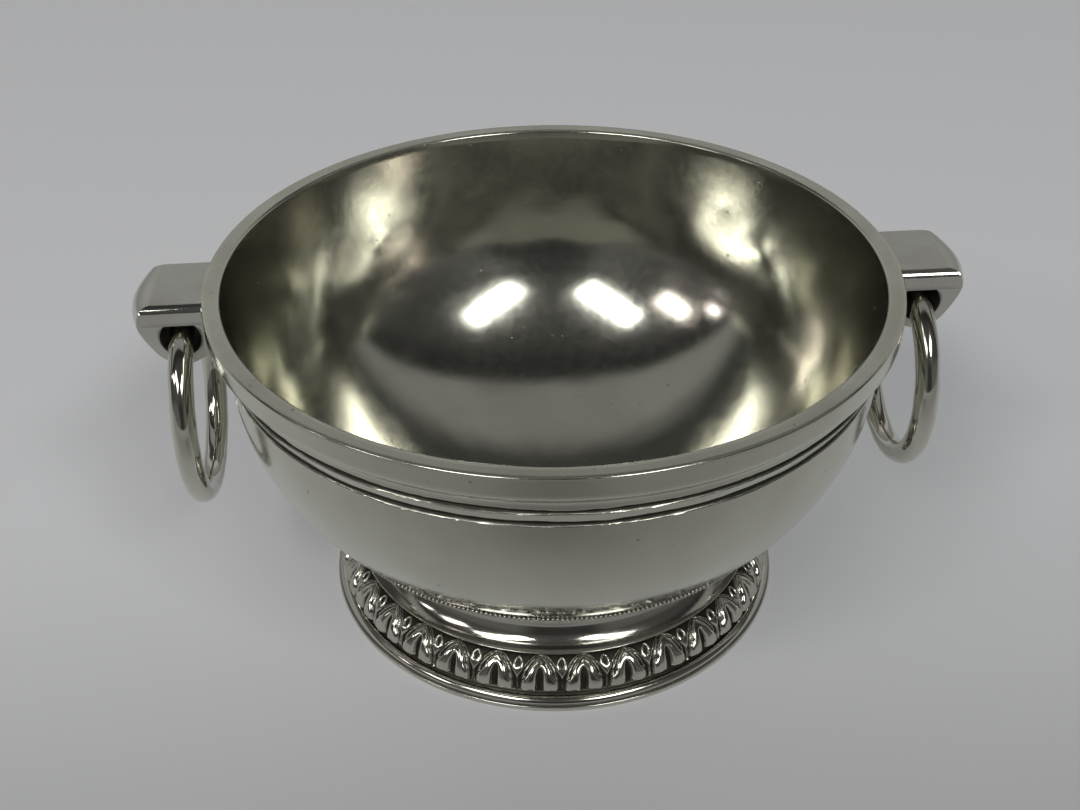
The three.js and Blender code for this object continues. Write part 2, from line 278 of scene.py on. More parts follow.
def make_wear_group():
    """Handled pewter: cloudy tone, fine pits, knocks and rubbed marks, and dark tarnish and painted shade
    where it is masked. Scales are waves or cells per metre, and shares run from 0 to 1."""
    group, entry, leave = make_group(
        "handled_pewter",
        {"Position": "Vector", "Metal": "Color", "Tarnish_and_shade": "Color", "Mask": "Float", "Gloss": "Float"},
        {"Colour": "Color", "Roughness": "Float", "Height": "Float"},
    )
    position = entry.outputs["Position"]
    brown_pewter = (0.4, 0.365, 0.3, 1)
    brown_clouds = (0.35, 0.7)
    brown_share = 0.26
    knocks_per_metre = 140
    knock_edge = (0.03, 0.055)
    pit_edge = (0.22, 0.27)
    pit_darkness = 0.35
    rubbed_range = (0.3, 0.7)
    rubbed_gloss = (-0.02, 0.02)
    cloud_range = (0.3, 0.75)
    cloud_gloss = (-0.02, 0.03)
    tarnish_and_shade_roughness = 0.4
    cloud = noise(group, position, scale=55, detail=4, roughness=0.55)
    fine = noise(group, position, scale=900, detail=2)
    rubbed = noise(group, position, scale=260, detail=5, roughness=0.7, distortion=1.5)
    browned = ranged(group, cloud, *brown_clouds, 0, brown_share)
    aged = blended(group, browned, entry.outputs["Metal"], brown_pewter)
    knocks = add_node(group, "TexVoronoi", {"Vector": position, "Scale": knocks_per_metre})
    knocked = ranged(group, knocks.outputs["Distance"], *knock_edge, 1, 0)
    pitted = ranged(group, fine, *pit_edge, 1, 0)
    pits = maths(group, "MAXIMUM", pitted, knocked)
    dark_pits = maths(group, "MULTIPLY", pits, pit_darkness)
    tarnish_and_shade_share = maths(group, "MAXIMUM", entry.outputs["Mask"], dark_pits)
    smear = ranged(group, rubbed, *rubbed_range, *rubbed_gloss)
    cloudy = ranged(group, cloud, *cloud_range, *cloud_gloss)
    worn = maths(group, "ADD", maths(group, "ADD", smear, cloudy), entry.outputs["Gloss"])
    dull = maths(group, "MULTIPLY", tarnish_and_shade_share, tarnish_and_shade_roughness)
    outputs = {
        "Colour": blended(group, tarnish_and_shade_share, aged, entry.outputs["Tarnish_and_shade"]),
        "Roughness": maths(group, "ADD", worn, dull),
        "Height": maths(group, "SUBTRACT", rubbed, pits),
    }
    feed(group, leave, outputs)
    return group


def make_turning_group():
    """The fine lines that a turning tool leaves: noise of the radius and height only."""
    group, entry, leave = make_group("turning_lines", {"Position": "Vector"}, {"Height": "Float"})
    lines_per_metre = 2500
    x, y, z = add_node(group, "SeparateXYZ", {"Vector": entry.outputs["Position"]}).outputs
    squares = maths(group, "ADD", maths(group, "POWER", x, 2), maths(group, "POWER", y, 2))
    section = add_node(group, "CombineXYZ", {"X": maths(group, "SQRT", squares), "Y": z})
    lines = noise(group, section.outputs["Vector"], scale=lines_per_metre, detail=2, roughness=0.6)
    feed(group, leave, {"Height": lines})
    return group


wear_group = make_wear_group()
turning_group = make_turning_group()


def pewter(name, metal, gloss, wear_height, line_height=0, tarnish_and_shade=(0.02, 0.018, 0.014)):
    """Pewter with wear, and turning lines where it was turned. Tarnish, painted shade and gloss follow the
    marks.
    """
    material = bpy.data.materials.new(name)
    material.use_nodes = True
    tree = material.node_tree
    place = add_node(tree, "TexCoord").outputs["Object"]
    mask, satin = (add_node(tree, "Attribute", attribute_name=mark) for mark in ("tarnish_and_shade", "satin"))
    colours = {"Metal": (*metal, 1), "Tarnish_and_shade": (*tarnish_and_shade, 1), "Mask": mask.outputs["Fac"]}
    wear_inputs = {"Position": place, "Gloss": gloss, **colours}
    wear = add_node(tree, "Group", wear_inputs, node_tree=wear_group).outputs
    bump = {"Strength": 1, "Distance": wear_height, "Height": wear["Height"]}
    normal = add_node(tree, "Bump", bump).outputs["Normal"]
    if line_height:
        lines = add_node(tree, "Group", {"Position": place}, node_tree=turning_group).outputs["Height"]
        bump = {"Strength": 1, "Distance": line_height, "Height": lines, "Normal": normal}
        normal = add_node(tree, "Bump", bump).outputs["Normal"]
    rough = maths(tree, "ADD", wear["Roughness"], satin.outputs["Fac"])
    metal_inputs = {"Metallic": 1, "Base Color": wear["Colour"], "Roughness": rough, "Normal": normal}
    feed(tree, tree.nodes["Principled BSDF"], metal_inputs)
    return material


mouth_radius = rim_radius - rim_width
neck_radius = rim_radius - rim_overhang
belly_radius = neck_radius - neck_step
neck_foot = rim_top - neck_drop
band_foot = rim_top - band_depth
undercut_foot = band_foot - undercut_depth
streaks_foot = undercut_foot + 0.6 * MM
streaks_top = band_foot - 0.2 * MM
seat_slope = belly_lift / belly_sweep
bowl_floor = bowl_bottom + floor_thickness
inner_seat_height = seat_height - (seat_radius - seat_inside) * seat_slope

underside = sweep(
    (0, bowl_bottom),
    (bottom_spread, bowl_bottom),
    (seat_inside - bottom_sweep, inner_seat_height - bottom_sweep * seat_slope),
    (seat_inside, inner_seat_height),
    count=14,
)
belly = sweep(
    (seat_radius, seat_height),
    (seat_radius + belly_sweep, seat_height + belly_lift),
    (belly_radius, neck_foot - belly_fullness),
    (belly_radius, neck_foot),
    count=46,
)
step_foot = (belly_radius, lower_groove + groove_half_width)
step_top = (neck_radius, upper_groove - groove_half_width)
neck = joined(
    straight((belly_radius, neck_foot), step_foot, count=20),
    straight(step_foot, step_top, count=10),
    straight(step_top, (neck_radius, undercut_foot), count=16),
)
undercut_middle = (undercut_foot + band_foot) / 2
undercut = sweep(
    (neck_radius, undercut_foot),
    (neck_radius, undercut_middle),
    (rim_radius, undercut_middle),
    (rim_radius, band_foot),
    count=16,
)
band = straight((rim_radius, band_foot), (rim_radius, rim_top - rim_edge), count=6)
outer_edge = bend((rim_radius - rim_edge, rim_top - rim_edge), rim_edge, 0, 90, count=6)
flat_rim = straight((rim_radius - rim_edge, rim_top), (mouth_radius + mouth_edge, rim_top), count=5)
inner_edge = bend(
    (mouth_radius + mouth_edge, rim_top - mouth_edge),
    (mouth_edge + mouth_lean, mouth_edge),
    90,
    180,
    count=5,
)
mouth_wall = mouth_radius - mouth_lean
mouth_foot = rim_top - mouth_edge
# The inside turns in one wall's thickness from the belly's waist, and passes there along it.
waist_row = round(waist_share * (len(belly) - 1))
pull = belly[waist_row + 1] - belly[waist_row - 1]
pull = pull / np.linalg.norm(pull)
waist = belly[waist_row] + waist_wall * np.array([-pull[1], pull[0]])
pull = pull * waist_pull
inside = joined(
    sweep(
        (mouth_wall, mouth_foot),
        (mouth_wall - mouth_taper, mouth_foot - mouth_fall),
        waist + pull,
        waist,
        count=46,
    ),
    sweep(waist, waist - pull, (seat_radius, bowl_floor), (0, bowl_floor), count=46),
)
bowl_profile = joined(
    underside,
    straight((seat_inside, inner_seat_height), (seat_radius, seat_height), count=4),
    belly,
    neck,
    undercut,
    band,
    outer_edge,
    flat_rim,
    inner_edge,
    inside,
)

turn = even_turn(bowl_columns)
profile_radius = bowl_profile[:, :1]
profile_height = bowl_profile[:, 1:]
along = way_along(bowl_profile)[:, None]
normal = outward(bowl_profile)
row = np.arange(len(bowl_profile))[:, None]
rim_row = len(bowl_profile) - len(inside) - len(inner_edge) - len(flat_rim) + 3
belly_row = len(underside)
# The waves fade in and out over some rows of the profile, clear of the seat and of the rim.
inside_start = rim_row + 12
outside_start = belly_row + 4
outside_end = rim_row - 12
is_inside = soft_step(row, inside_start, inside_start + blend_rows)
is_outside = soft_step(row, outside_start, outside_start + blend_rows)
is_outside = is_outside * (1 - soft_step(row, outside_end - fade_rows, outside_end))
high_up = soft_step(profile_height, calm_below, wavy_above)
wave_share = bottom_wave_share + (1 - bottom_wave_share) * high_up
off_centre = soft_step(profile_radius, calm_centre, wavy_beyond)

waves_out = hand_waves(turn, along, wave_length, seed=3) * outside_wave * is_outside
waves_in = hand_waves(turn, along, wave_length, seed=8) * inside_wave * is_inside
lift = waves_out + waves_in * off_centre * wave_share

one_height = np.zeros((1, 1))
uneven = hand_waves(turn, one_height, wave_length, seed=21) * groove_unevenness
ragged = hand_waves(turn * groove_ripples, one_height, wave_length, seed=5) * groove_unevenness
groove_mark = np.zeros(lift.shape)
for groove_height, shift in ((lower_groove, 0), (upper_groove, bowl_columns // 3)):
    change = np.roll(uneven, shift, 1)
    width = groove_half_width * (1 + change * groove_width_change + ragged * groove_raggedness)
    off_groove = np.abs((profile_height - groove_height) / width)
    shape = np.clip(1 - off_groove**groove_roundness, 0, 1) * is_outside
    lift = lift - groove_depth * shape * (1 + change * groove_depth_change)
    groove_mark = np.maximum(groove_mark, soft_step(shape, *groove_shading))

bowl_radius = profile_radius + normal[:, :1] * lift
bowl_height = profile_height + normal[:, 1:] * lift

# Beside a lug the rim's rounded edge runs out to a sharp one, because the lug's top carries on there.
from_middle = np.abs(rim_radius * np.sin(turn))
beside_lug = 1 - soft_step(from_middle, lug_half_width - rim_run_out, lug_half_width)
edge_here = rim_edge * (1 + rim_raggedness * ragged) * (1 - beside_lug) + sharp_edge * beside_lug
edge_rows = slice(rim_row - len(outer_edge) + 1, rim_row)
edge_angle = np.linspace(0, np.pi / 2, len(outer_edge))[1:, None]
bowl_radius[edge_rows] = rim_radius - edge_here * (1 - np.cos(edge_angle))
bowl_height[edge_rows] = rim_top - edge_here * (1 - np.sin(edge_angle))
bowl_points = turned(bowl_radius, bowl_height, turn)

# Each dent inside has its place, its reach and its depth in millimetres.
dents = (
    ((39.3, 41.9, 57.7), 1.6, 0.16),
    ((36.5, 43.5, 60.5), 1.1, 0.10),
    ((-24.0, 53.0, 60.5), 1.0, 0.10),
    ((-33.0, 46.0, 50.0), 2.2, 0.12),
    ((-50.0, 27.0, 50.0), 2.6, 0.14),
    ((48.0, 33.0, 50.0), 2.4, 0.10),
    ((-44.0, 32.0, 40.0), 2.8, 0.12),
    ((20.0, 52.0, 49.0), 2.6, 0.06),
)
for place, reach, depth in dents:
    offset = bowl_points - np.array(place) * MM
    near = np.exp(-np.sum(offset**2, 2) / (reach * MM) ** 2) * is_inside
    bowl_points[..., 0] += near * depth * MM * np.cos(turn)
    bowl_points[..., 1] += near * depth * MM * np.sin(turn)

in_undercut = soft_step(profile_height, streaks_foot, streaks_foot + streak_fade)
in_undercut = in_undercut * (1 - soft_step(profile_height, streaks_top - streak_fade, streaks_top))
streak_waves = hand_waves(turn * streak_ripples, along, streak_length, seed=31)
in_streaks = in_undercut * is_outside * soft_step(streak_waves, *streak_range)
bowl_tarnish_and_shade = np.clip(groove_mark * groove_darkness + in_streaks * streak_darkness, 0, 1)
# The inside gets a thin even painted shade, which also dulls it a little, so that less light bounces round
# inside the bowl.
bowl_tarnish_and_shade = np.maximum(bowl_tarnish_and_shade, inside_shade * is_inside)
on_rim = soft_step(row, rim_row - 2, rim_row) * (1 - soft_step(row, rim_row + 3, rim_row + 6))
bowl_satin = rim_satin * on_rim + inside_satin * is_inside

bowl_pewter = pewter(
    "bowl_pewter",
    metal=(0.585, 0.583, 0.508),
    gloss=0.15,
    wear_height=0.01 * MM,
    line_height=0.0012 * MM,
)
bowl = skin("bowl_body", bowl_points, bowl_pewter, {"tarnish_and_shade": bowl_tarnish_and_shade, "satin": bowl_satin})
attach(bowl, "bowl_body")
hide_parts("bowl")


# Each lug is cast pewter, soldered to the rim with its top flush. Under the top a polished flute
# runs into a raised flat band, and below that the narrower knuckle holds the bore for the ring.
lug_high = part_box("right_lug")[1]
bore_reach = 67.1 * MM
bore_height = rim_top - 7.2 * MM
bore_radius = 3.65 * MM
knuckle_radius = 5.4 * MM
knuckle_half_width = 7.2 * MM
band_half_width = lug_high.y
flute_fall = 1.5 * MM
lug_band_top = rim_top - flute_fall
lug_band_foot = rim_top - 4.05 * MM
flute_lean_top = np.radians(10)
flute_lean_foot = np.radians(56)
lug_top_end = 70 * MM
nose_bulge = 1.8 * MM
nose_reach = lug_high.x - nose_bulge
nose_height = rim_top - 3.9 * MM
bulge_start = 71 * MM
root_low = np.array([59.9, 58.5]) * MM
root_high = np.array([60.9 * MM, rim_top])
knuckle_start = 234
knuckle_end = 335
seam_outside = rim_radius + 0.4 * MM
seam_inside = rim_radius - 0.8 * MM
lug_edge = 0.16 * MM
lug_edge_angle = 40
lug_sink = 0.03 * MM
sink_start = rim_radius - 0.05 * MM
sink_end = rim_radius + 0.15 * MM
lug_top_shade = 0.2
top_shade_start = rim_top - 0.3 * MM
top_shade_full = rim_top - 0.1 * MM
lug_satin = 0.17
flute_polish = 0.04
bore_darkness = 0.75
under_band_darkness = 0.8
band_foot_darkness = 0.3
flute_columns = 11
knuckle_columns = 7
band_columns = 4
wrap_columns = 9
bore_columns = 6
level_heading = 0.05


def round_corner(start, corner, end, count):
    """A quadratic Bezier stretch: start, corner and end weighted by the powers of t and 1 - t."""
    t = np.linspace(0, 1, count)[:, None]
    return (1 - t) ** 2 * np.array(start) + 2 * (1 - t) * t * np.array(corner) + t**2 * np.array(end)


def flute_width(height):
    """Half the lug's width in the flute, which leans outwards more and more on its way down. The
    tangent of a steadily growing lean adds up to the logarithm of its cosine."""
    share = np.clip((rim_top - height) / flute_fall, 0, 1)
    lean = flute_lean_top + (flute_lean_foot - flute_lean_top) * share
    out = np.log(np.cos(flute_lean_top) / np.cos(lean))
    whole = np.log(np.cos(flute_lean_top) / np.cos(flute_lean_foot))
    return lug_half_width + (band_half_width - lug_half_width) * out / whole


def lug_outline():
    """The lug seen from the front, anticlockwise from its root, and whether each point has the band."""
    knuckle = bend((bore_reach, bore_height), knuckle_radius, knuckle_start, knuckle_end, count=24)
    nose = (nose_reach, nose_height)
    nose_corner = (nose_reach, nose_height - (rim_top - nose_height) / 2)
    outline = joined(
        straight(root_low, knuckle[0], count=5),
        knuckle,
        round_corner(knuckle[-1], nose_corner, nose, count=14),
        round_corner(nose, (nose_reach, rim_top), (lug_top_end, rim_top), count=14),
        straight((lug_top_end, rim_top), (seam_outside, rim_top), count=7),
        straight((seam_outside, rim_top), (seam_inside, rim_top), count=13),
        straight((seam_inside, rim_top), root_high, count=3),
        straight(root_high, root_low, count=12),
    )[:-1]
    # Where the outline crosses the band's foot it gets the crossing twice, without and with the band.
    over_foot = outline[:, 1] - lug_band_foot
    crossing = np.flatnonzero(over_foot * np.roll(over_foot, -1) < 0)
    pieces, has_band = [], []
    last = 0
    for place in crossing:
        next_point = outline[(place + 1) % len(outline)]
        share = -over_foot[place] / (next_point[1] - outline[place, 1])
        on_foot = outline[place] + share * (next_point - outline[place])
        above = over_foot[place] > 0
        pieces += [outline[last : place + 1], on_foot[None], on_foot[None]]
        has_band += [above] * (place + 1 - last) + [above, not above]
        last = place + 1
    pieces.append(outline[last:])
    has_band += [False] * (len(outline) - last)
    return np.concatenate(pieces), np.array(has_band)


def spaced(start, end, count):
    """Values from start to end along a new last axis."""
    share = np.linspace(0, 1, count)
    return start[:, None] * (1 - share) + end[:, None] * share


def lug_points():
    """Half a section for each outline point, on the ray to it from the bore: along the bore, over
    the knuckle's face, out along the band's foot, up the band and the flute, and back over the
    outside. The other half is its mirror image."""
    outline, has_band = lug_outline()
    away = outline - np.array([bore_reach, bore_height])
    reach = np.linalg.norm(away, axis=1)
    heading = away / reach[:, None]
    # A ray that doesn't rise from the bore never comes up to the band.
    goes_up = heading[:, 1] > level_heading
    rising = np.where(goes_up, heading[:, 1], np.inf)
    to_foot = (lug_band_foot - bore_height) / rising
    to_top = (lug_band_top - bore_height) / rising
    bore = np.full(len(reach), bore_radius)
    opening = np.where(goes_up, np.minimum(bore, to_foot), bore)
    shelf = np.where(has_band, np.maximum(opening, to_foot), reach)
    flute = np.where(has_band, np.clip(to_top, shelf, reach), reach)
    knuckle_width = np.full(len(reach), knuckle_half_width)
    band_width = np.where(has_band, band_half_width, knuckle_half_width)
    end_share = np.clip((rim_top - outline[:, 1]) / flute_fall, 0, 1)
    start_share = np.clip((rim_top - bore_height - flute * heading[:, 1]) / flute_fall, 0, 1)
    flute_share = spaced(start_share, end_share, flute_columns)
    flute_height = rim_top - flute_share * flute_fall
    in_flute = has_band & (outline[:, 1] > lug_band_top)
    along_flute = (flute_height - bore_height) / rising[:, None]
    flute_reach = np.where(in_flute[:, None], along_flute, reach[:, None])
    flute_across = np.where(in_flute[:, None], flute_width(flute_height), band_width[:, None])
    back_width = np.minimum(flute_across[:, -1], knuckle_width)
    none = np.zeros(len(reach))
    reaches = np.concatenate(
        [
            np.repeat(bore[:, None], bore_columns, 1),
            spaced(opening, shelf, knuckle_columns),
            spaced(shelf, flute, band_columns),
            flute_reach,
            np.repeat(reach[:, None], wrap_columns + 1, 1),
        ],
        1,
    )
    across = np.concatenate(
        [
            spaced(none, knuckle_width, bore_columns),
            np.repeat(knuckle_width[:, None], knuckle_columns, 1),
            np.repeat(band_width[:, None], band_columns, 1),
            flute_across,
            back_width[:, None],
            spaced(back_width, none, wrap_columns),
        ],
        1,
    )
    shelf_end = bore_columns + knuckle_columns
    flute_start = shelf_end + band_columns
    bright = np.zeros(across.shape)
    bright[:, flute_start : flute_start + flute_columns] = in_flute[:, None]
    # Painted shade darkens the bore, the underside of the band and the band's foot.
    dark = np.zeros(across.shape)
    dark[:, : bore_columns + 1] = bore_darkness
    dark[:, shelf_end - 1] = under_band_darkness * has_band
    dark[:, shelf_end] = band_foot_darkness * has_band
    across = np.concatenate([-across, across[:, ::-1]], 1)
    reaches, bright, dark = (np.concatenate([half, half[:, ::-1]], 1) for half in (reaches, bright, dark))
    x = bore_reach + reaches * heading[:, :1]
    z = bore_height + reaches * heading[:, 1:]
    bulge = np.clip((x - bulge_start) / (nose_reach - bulge_start), 0, 1)
    x = x + nose_bulge * bulge * np.clip(1 - (across / band_half_width) ** 2, 0, 1)
    # Painted shade darkens the lug's top a little against its brighter faces.
    dark = np.maximum(dark, lug_top_shade * soft_step(z, top_shade_start, top_shade_full))
    # Over the rim the lug's top sinks by a hair, so that the rim's own flat shows there.
    over_rim = 1 - soft_step(np.hypot(x, across), sink_start, sink_end)
    z = z - lug_sink * over_rim * (z > rim_top - lug_sink)
    return np.stack([x, across, z], 2), bright, dark


lug_pewter = pewter(
    "lug_pewter",
    metal=(0.71, 0.705, 0.65),
    gloss=0.1,
    tarnish_and_shade=(0.03, 0.027, 0.02),
    wear_height=0.004 * MM,
)
lug_grid, lug_bright, lug_dark = lug_points()
lug_marks = {"tarnish_and_shade": lug_dark, "satin": lug_satin * (1 - lug_bright) - flute_polish}
for side, way in (("right", 1), ("left", -1)):
    facing = lug_grid * np.array([way, way, 1])
    lug = skin(f"{side}_lug_casting", facing, lug_pewter, lug_marks, closed_along=True)
    rounding = lug.modifiers.new("worn_edges", "BEVEL")
    rounding.width = lug_edge
    rounding.segments = 2
    rounding.limit_method = "ANGLE"
    rounding.angle_limit = np.radians(lug_edge_angle)
    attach(lug, "bowl_body")
    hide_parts(f"{side}_lug")


# Each ring is round pewter wire, bent to a circle, closed through the bore of its lug and
# polished bright. It hangs loose.
ring_low, ring_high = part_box("right_ring")
wire_radius = (ring_high.x - ring_low.x) / 2
ring_radius = (ring_high.y - ring_low.y) / 2 - wire_radius
ring_reach = (ring_high.x + ring_low.x) / 2
ring_middle = (ring_high.z + ring_low.z) / 2
ring_columns = 180
wire_rows = 32
wire_unevenness = 0.012
wire_wave = 4

ring_pewter = pewter(
    "ring_pewter",
    metal=(0.6, 0.59, 0.52),
    gloss=0.09,
    tarnish_and_shade=(0.03, 0.026, 0.02),
    wear_height=0.002 * MM,
)


def ring_points(reach, seed):
    """A circle of wire in the plane across X: the wire's own circle carried round the ring's."""
    ring_turn = even_turn(ring_columns)
    wire_turn = even_turn(wire_rows).T
    waves = hand_waves(ring_turn, wire_turn, wire_wave, seed)
    thickness = wire_radius * (1 + wire_unevenness * (waves - 1))
    out = ring_radius + thickness * np.cos(wire_turn)
    x = reach + thickness * np.sin(wire_turn)
    return np.stack([x, out * np.sin(ring_turn), ring_middle - out * np.cos(ring_turn)], 2)


for side, way in (("right", 1), ("left", -1)):
    wire = ring_points(way * ring_reach, seed=40 + way)
    ring = skin(f"{side}_ring_wire", wire, ring_pewter, closed_along=True)
    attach(ring, f"{side}_ring_body")
    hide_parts(f"{side}_ring")


# A fine pewter wire, rolled to a row of beads, is bent round under the bowl and soldered there. It
# hides the solder between the bowl and the flange of the foot.
bead_low, bead_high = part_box("bead_wire")
bead_fineness = 0.72
bead_radius = (bead_high.z - bead_low.z) / 2 * bead_fineness
bead_reach = 46.3 * MM
bead_stand = 0.3 * MM
bead_count = 350
columns_per_bead = 6
bead_rows = 8
bead_pinch = 0.95
bead_shading = (0.55, 0.95)
bead_tarnish = 0.1
pinch_shade = 0.8

bead_pewter = pewter(
    "bead_pewter",
    metal=(0.6, 0.59, 0.52),
    gloss=0.13,
    wear_height=0.001 * MM,
)
# The wire lies a little sunk in the belly's underside, where that is as far out as the wire.
touch = np.array([bead_reach, np.interp(bead_reach, belly[:, 0], belly[:, 1])])
off_belly = np.array([np.interp(bead_reach, belly[:, 0], part) for part in outward(belly).T])
bead_circle, bead_height = touch + off_belly * bead_stand
bead_turn = even_turn(bead_count * columns_per_bead)
wire_turn = even_turn(bead_rows).T
# Each bead is most of a ball: its radius is the root of 1 minus the squared way from its middle.
off_middle = np.mod(bead_turn / FULL_TURN * bead_count, 1) * 2 - 1
ball = np.sqrt(1 - (bead_pinch * off_middle) ** 2)
beads = turned(
    bead_circle + bead_radius * ball * np.cos(wire_turn),
    bead_height + bead_radius * ball * np.sin(wire_turn),
    bead_turn,
)
# Painted shade darkens the pinches between the beads, over a little even tarnish on the whole wire.
between_beads = soft_step(np.abs(off_middle), *bead_shading)
bead_marks = {"tarnish_and_shade": bead_tarnish + (pinch_shade - bead_tarnish) * between_beads}
bead_wire = skin("beaded_wire", beads, bead_pewter, bead_marks, closed_along=True, sharp_angle=80)
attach(bead_wire, "bowl_body")
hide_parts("bead_wire")


# The foot is turned pewter: a deep polished cove, a thin lip, and a hidden cone that carries the
# leaf border. It is hollow underneath.
shell_low, shell_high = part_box("foot_shell")
foot_neck_radius = 35.7 * MM
foot_neck_height = 16.2 * MM
neck_seat_height = foot_neck_height + 0.5 * MM
foot_wall = 2.2 * MM
flange_start = 38 * MM
flange_end = 46.2 * MM
flange_gap = 0.1 * MM
flange_wall = 0.3 * MM
cove_radius = 39.4 * MM
cove_height = 9.7 * MM
cove_lean = np.radians(64)
cove_pull = 2.2 * MM
cove_rise = 3.4 * MM
lip_reach = 0.25 * MM
lip_edge = 0.15 * MM
shell_foot = shell_low.z
inner_seat = shell_high.z - 1.6 * MM
cone_top_radius = 37.75 * MM
cone_foot_radius = 40.85 * MM
cone_gap = 0.05 * MM
foot_columns = 360

foot_pewter = pewter(
    "foot_pewter",
    metal=(0.6, 0.59, 0.53),
    gloss=0.11,
    wear_height=0.002 * MM,
    line_height=0.0006 * MM,
)
foot_turn = even_turn(foot_columns)
inner_top = (foot_neck_radius - foot_wall, inner_seat)
inner_waist = (cone_top_radius - foot_wall, cove_height - 0.6 * MM)
inner_foot = (cone_foot_radius - foot_wall, shell_foot)
lip_middle = cove_radius + lip_reach - lip_edge
lip_foot = cove_height - 2 * lip_edge
cone_top = (cone_top_radius + cone_gap, lip_foot)
cove_handle = cove_pull * np.array([-np.sin(cove_lean), np.cos(cove_lean)])
# A thin flange follows the belly's underside from the neck out to the beaded wire.
in_flange = (belly[:, 0] > flange_start) & (belly[:, 0] < flange_end)
flange_over = (belly + outward(belly) * flange_gap)[in_flange]
flange_under = (belly + outward(belly) * (flange_gap + flange_wall))[in_flange]
foot_profile = joined(
    straight(inner_top, inner_waist, count=4),
    straight(inner_waist, inner_foot, count=4),
    straight(inner_foot, (cone_foot_radius, shell_foot), count=2),
    straight((cone_foot_radius, shell_foot), cone_top, count=4),
    straight(cone_top, (lip_middle, lip_foot), count=3),
    bend((lip_middle, cove_height - lip_edge), lip_edge, -90, 90, count=8),
    sweep(
        (lip_middle, cove_height),
        (cove_radius, cove_height) + cove_handle,
        (foot_neck_radius, foot_neck_height - cove_rise),
        (foot_neck_radius, foot_neck_height),
        count=40,
    ),
    straight((foot_neck_radius, foot_neck_height), flange_under[0], count=6),
    flange_under,
    straight(flange_under[-1], flange_over[-1], count=2),
    flange_over[::-1],
    straight(flange_over[0], (foot_neck_radius, neck_seat_height), count=6),
    straight((foot_neck_radius, neck_seat_height), inner_top, count=3),
)[:-1]
foot_shell = skin(
    "foot_cove",
    turned(foot_profile[:, :1], foot_profile[:, 1:], foot_turn),
    foot_pewter,
    closed_along=True,
)
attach(foot_shell, "bowl_body")
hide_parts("foot_shell")


# The leaf border is cast and chased: 32 upright leaves of two lobes with a slot between them,
# and 32 buds on stems, on a band that swells outwards. The hollows are dark with tarnish.
border_low, border_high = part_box("leaf_border")
leaf_count = 32
leaf_phase = np.radians(2.7)
columns_per_leaf = 60
border_rows = 48
border_foot = border_low.z
border_top = border_high.z
border_foot_radius = 42.7 * MM
border_swell = 4.7 * MM
border_turn = np.radians(79)
border_back = 1.5 * MM
border_seat = 3 * MM

# Places up the band are shares, from 0 at its foot to 1 at its top.
leaf_half_width = 3.6 * MM
leaf_tip = 0.93
leaf_taper = 2.2
leaf_fullness = 0.74
leaf_slip = 0.22 * MM
leaf_lean = 0.12 * MM
leaf_growth = 0.02
slot_half_width = 0.5 * MM
slot_top = 0.58
slot_rounding = 0.22
slot_closing = 0.06
slot_overlap = 1.5
arch_width = 0.36 * MM
arch_groove = 0.24 * MM
arch_start = 0.22
arch_end = 0.42
arch_share = 1.1
outer_width = 0.3 * MM
outer_start = 0.5
outer_end = 0.66
outer_share = 0.7
lobe_foot = 0.03
foot_raggedness = 0.008
foot_ripples = 9
least_lobe = 0.01 * MM
fall_start = 0.1
fall_end = 0.8
fall_share = 0.62
lobe_dome = 0.42 * MM
bud_half_width = 1.15 * MM
bud_stem = 0.2 * MM
stem_end = 0.3
bud_waist = 0.56
bud_tip = 0.87
eye_half_width = 0.4 * MM
eye_middle = 0.69
eye_half_height = 0.11
ornament_relief = 0.65 * MM
edge_softness = 0.16 * MM
tip_fade = 0.1
ground_wobble = 0.012 * MM
wobble_ripples = 5
wobble_height = 0.4
hollow_relief = 0.06 * MM
clear_relief = 0.22 * MM

border_shares = np.linspace(0, 1, border_rows)[:, None]
border_columns = leaf_count * columns_per_leaf
around = np.linspace(0, leaf_count, border_columns, endpoint=False)[None, :]
leaf_turn = around * FULL_TURN / leaf_count
leaf_number = np.floor(around + 0.5)
pitch = FULL_TURN * border_foot_radius / leaf_count
swell_centre = border_foot_radius - border_swell
swell_rise = (border_top - border_foot) / np.sin(border_turn)
swell_turn = border_turn * border_shares
swell_radius = swell_centre + border_swell * np.cos(swell_turn)
swell_height = border_foot + swell_rise * np.sin(swell_turn)
border_length = way_along(np.concatenate([swell_radius, swell_height], 1))[-1]


def pad(distance, softness):
    """A raised shape with a rounded edge: rises from 0 at its outline and levels out inside it."""
    return 1 - np.exp(-np.clip(distance, 0, None) / softness)


def half_round(share):
    """A round ridge over shares from 0 to 1: the root of 1 minus the squared way from its middle."""
    return np.sqrt(np.clip(1 - (2 * share - 1) ** 2, 0, 1))


